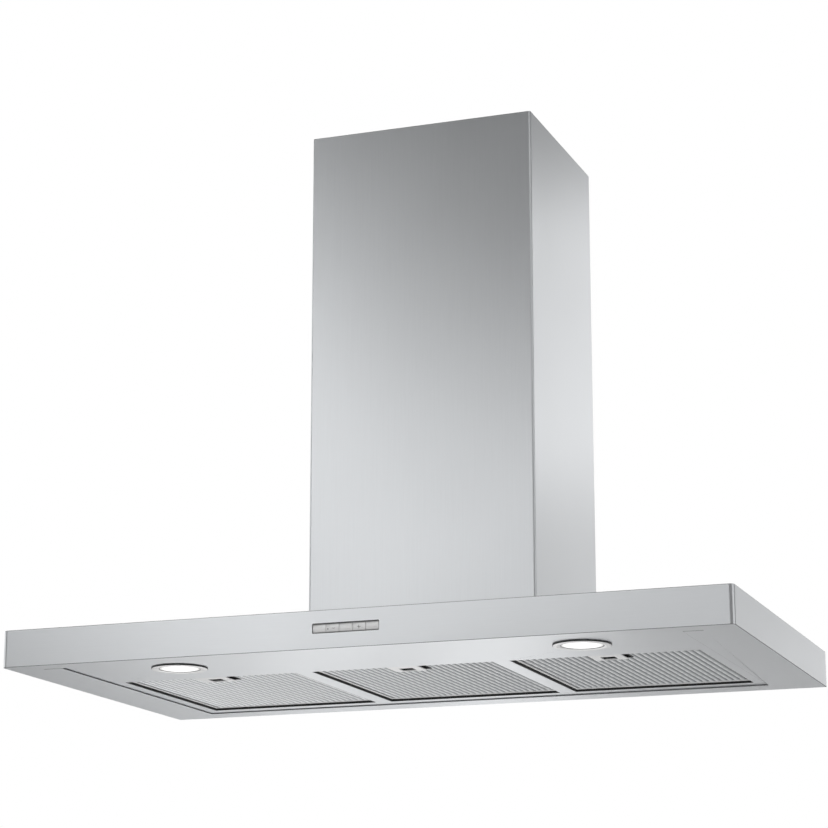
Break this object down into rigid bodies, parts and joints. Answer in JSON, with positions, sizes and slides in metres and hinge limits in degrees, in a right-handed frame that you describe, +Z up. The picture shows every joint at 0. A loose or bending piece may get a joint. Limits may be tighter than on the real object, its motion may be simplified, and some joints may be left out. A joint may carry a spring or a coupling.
{
  "type": "range hood",
  "caption": "Wall-mounted chimney range hood: flat box canopy with mesh grease filters, lamps and push buttons, a blower inside, and a telescopic chimney.",
  "frame": {"origin": "on the wall plane, at the middle of the width, level with the canopy's lower edge", "axes": "+X to the right as seen from the room, +Y into the wall, +Z up; metres"},
  "size_m": [0.9, 0.5, 0.7209],
  "materials": {
    "brushed_steel": "fine-brushed stainless steel with a soft satin reflection",
    "galvanised": "plain zinc-coated steel sheet",
    "aluminium": "mill-finish aluminium",
    "satin_silver": "satin silver lacquered plastic",
    "black_plastic": "black moulded plastic",
    "grey_plastic": "grey moulded plastic",
    "frosted_glass": "frosted diffuser",
    "board_green": "green circuit board",
    "bright_zinc": "bright zinc-plated steel"
  },
  "bodies": {
    "hood": {"canopy_shell": "brushed_steel", "bottom_panel": "brushed_steel", "motor_box": "galvanised", "scroll_housing": "black_plastic", "motor": "galvanised", "motor_bracket": "galvanised", "outlet_collar": "black_plastic", "flap_pin": "bright_zinc", "junction_box": "grey_plastic", "junction_box_lid": "grey_plastic", "cable_gland": "black_plastic", "capacitor": "grey_plastic", "capacitor_clip": "galvanised", "chimney_lower": "brushed_steel", "chimney_bracket": "galvanised", "wall_rail": "galvanised", "hanger_left": "galvanised", "hanger_right": "galvanised", "switch_housing": "black_plastic", "control_board": "board_green", "lamp_driver": "grey_plastic", "motor_box_screw_1": "bright_zinc", "collar_screw_1": "bright_zinc", "motor_box_screw_2": "bright_zinc", "collar_screw_2": "bright_zinc", "motor_box_screw_3": "bright_zinc", "collar_screw_3": "bright_zinc", "motor_box_screw_4": "bright_zinc", "collar_screw_4": "bright_zinc", "lamp_bezel_left": "satin_silver", "lamp_lens_left": "frosted_glass", "lamp_body_left": "grey_plastic", "lamp_bezel_right": "satin_silver", "lamp_lens_right": "frosted_glass", "lamp_body_right": "grey_plastic"},
    "button_1_cap": {"button_1": "satin_silver"},
    "button_2_cap": {"button_2": "satin_silver"},
    "button_3_cap": {"button_3": "satin_silver"},
    "button_4_cap": {"button_4": "satin_silver"},
    "button_5_cap": {"button_5": "satin_silver"},
    "filter_left": {"filter_frame_left": "aluminium", "filter_mesh_left": "aluminium", "finger_cup_left": "black_plastic"},
    "latch_left": {"filter_latch_left": "satin_silver"},
    "filter_centre": {"filter_frame_centre": "aluminium", "filter_mesh_centre": "aluminium", "finger_cup_centre": "black_plastic"},
    "latch_centre": {"filter_latch_centre": "satin_silver"},
    "filter_right": {"filter_frame_right": "aluminium", "filter_mesh_right": "aluminium", "finger_cup_right": "black_plastic"},
    "latch_right": {"filter_latch_right": "satin_silver"},
    "chimney_extension": {"chimney_upper": "brushed_steel"},
    "blower_wheel": {"impeller": "black_plastic"},
    "damper_back": {"flap_back": "black_plastic"},
    "damper_front": {"flap_front": "black_plastic"}
  },
  "joints": [
    {"name": "button_1_press", "type": "slide", "parent": "hood", "child": "button_1_cap", "axis": [0, 1, 0], "range_m": [0, 0.002], "stiffness_N_per_m": 400, "springref_m": -0.001},
    {"name": "button_2_press", "type": "slide", "parent": "hood", "child": "button_2_cap", "axis": [0, 1, 0], "range_m": [0, 0.002], "stiffness_N_per_m": 400, "springref_m": -0.001},
    {"name": "button_3_press", "type": "slide", "parent": "hood", "child": "button_3_cap", "axis": [0, 1, 0], "range_m": [0, 0.002], "stiffness_N_per_m": 400, "springref_m": -0.001},
    {"name": "button_4_press", "type": "slide", "parent": "hood", "child": "button_4_cap", "axis": [0, 1, 0], "range_m": [0, 0.002], "stiffness_N_per_m": 400, "springref_m": -0.001},
    {"name": "button_5_press", "type": "slide", "parent": "hood", "child": "button_5_cap", "axis": [0, 1, 0], "range_m": [0, 0.002], "stiffness_N_per_m": 400, "springref_m": -0.001},
    {"name": "filter_left_swing", "type": "hinge", "parent": "hood", "child": "filter_left", "pos_m": [-0.2535, -0.057, 0.0045], "axis": [1, 0, 0], "range_deg": [0, 70]},
    {"name": "latch_left_slide", "type": "slide", "parent": "filter_left", "child": "latch_left", "axis": [0, 1, 0], "range_m": [0, 0.006], "stiffness_N_per_m": 350, "springref_m": -0.002},
    {"name": "filter_centre_swing", "type": "hinge", "parent": "hood", "child": "filter_centre", "pos_m": [0, -0.057, 0.0045], "axis": [1, 0, 0], "range_deg": [0, 70]},
    {"name": "latch_centre_slide", "type": "slide", "parent": "filter_centre", "child": "latch_centre", "axis": [0, 1, 0], "range_m": [0, 0.006], "stiffness_N_per_m": 350, "springref_m": -0.002},
    {"name": "filter_right_swing", "type": "hinge", "parent": "hood", "child": "filter_right", "pos_m": [0.2535, -0.057, 0.0045], "axis": [1, 0, 0], "range_deg": [0, 70]},
    {"name": "latch_right_slide", "type": "slide", "parent": "filter_right", "child": "latch_right", "axis": [0, 1, 0], "range_m": [0, 0.006], "stiffness_N_per_m": 350, "springref_m": -0.002},
    {"name": "chimney_extension_slide", "type": "slide", "parent": "hood", "child": "chimney_extension", "axis": [0, 0, 1], "range_m": [0, 0.35]},
    {"name": "blower_wheel_spin", "type": "hinge", "parent": "hood", "child": "blower_wheel", "pos_m": [0, -0.132, 0.165], "axis": [1, 0, 0], "continuous": true},
    {"name": "damper_back_swing", "type": "hinge", "parent": "hood", "child": "damper_back", "pos_m": [0, -0.132, 0.356], "axis": [1, 0, 0], "range_deg": [0, 72]},
    {"name": "damper_front_swing", "type": "hinge", "parent": "hood", "child": "damper_front", "pos_m": [0, -0.132, 0.356], "axis": [-1, 0, 0], "range_deg": [0, 72]}
  ]
}
